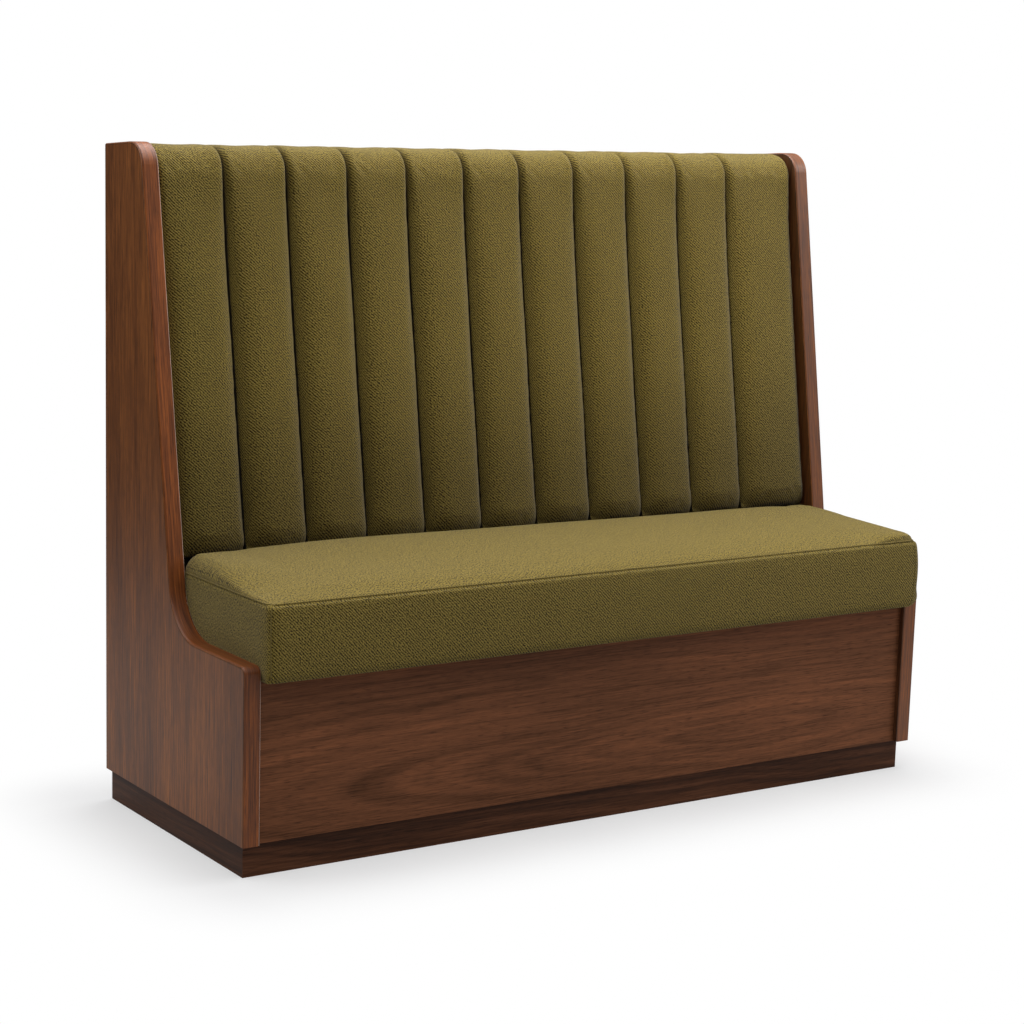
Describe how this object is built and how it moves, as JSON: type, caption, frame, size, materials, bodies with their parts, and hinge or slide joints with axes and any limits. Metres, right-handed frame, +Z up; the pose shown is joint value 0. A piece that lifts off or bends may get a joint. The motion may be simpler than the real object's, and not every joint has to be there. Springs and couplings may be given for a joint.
{
  "type": "restaurant booth seating",
  "caption": "High-backed booth bench with shaped walnut ends, a recessed plinth, a padded channel back and a box seat cushion.",
  "frame": {"origin": "on the floor, under the middle of the bench's bounding box", "axes": "+X along the bench to the sitter's left, +Y to the back of the bench, +Z up"},
  "size_m": [1.5, 0.5809, 1.216],
  "materials": {
    "walnut_upright": "satin lacquered walnut veneer, grain upright",
    "walnut_lengthwise": "satin lacquered walnut veneer, grain along the bench",
    "walnut_plinth": "satin lacquered walnut veneer, grain along each board",
    "plywood": "sanded birch plywood",
    "lined_plywood": "birch plywood covered in dark lining cloth",
    "softwood": "planed pine",
    "back_fabric": "olive-brown diagonal twill",
    "seat_fabric": "olive-brown diagonal twill",
    "zinc_steel": "bright zinc plated"
  },
  "bodies": {
    "frame": {"left_end_panel": "walnut_upright", "right_end_panel": "walnut_upright", "front_panel": "walnut_lengthwise", "rear_panel": "walnut_lengthwise", "plinth_front": "walnut_plinth", "plinth_left": "walnut_plinth", "plinth_right": "walnut_plinth", "plinth_rear": "walnut_plinth", "plinth_corner_blocks": "softwood", "seat_front_rail": "softwood", "seat_rear_rail": "softwood", "seat_cleat_left": "softwood", "seat_cleat_right": "softwood", "rail_corner_blocks": "softwood", "wall_rail": "softwood", "top_rail": "softwood", "back_board": "lined_plywood", "rib_bolts": "zinc_steel", "rib_nuts": "zinc_steel", "plinth_crosspiece_1": "plywood", "seat_rib_1": "plywood", "plinth_crosspiece_2": "plywood", "seat_rib_2": "plywood", "plinth_crosspiece_3": "plywood", "seat_rib_3": "plywood", "back_rib_1": "plywood", "back_rib_2": "plywood", "back_rib_3": "plywood", "back_rib_4": "plywood", "back_rib_5": "plywood", "back_channel_01": "back_fabric", "back_channel_02": "back_fabric", "back_channel_03": "back_fabric", "back_channel_04": "back_fabric", "back_channel_05": "back_fabric", "back_channel_06": "back_fabric", "back_channel_07": "back_fabric", "back_channel_08": "back_fabric", "back_channel_09": "back_fabric", "back_channel_10": "back_fabric", "back_channel_11": "back_fabric"},
    "seat": {"seat_cushion": "seat_fabric", "seat_board": "plywood", "seat_locating_blocks": "softwood"}
  },
  "joints": [
    {"name": "seat_lift", "type": "slide", "parent": "frame", "child": "seat", "axis": [0, 0, 1], "range_m": [0, 0.12]}
  ]
}
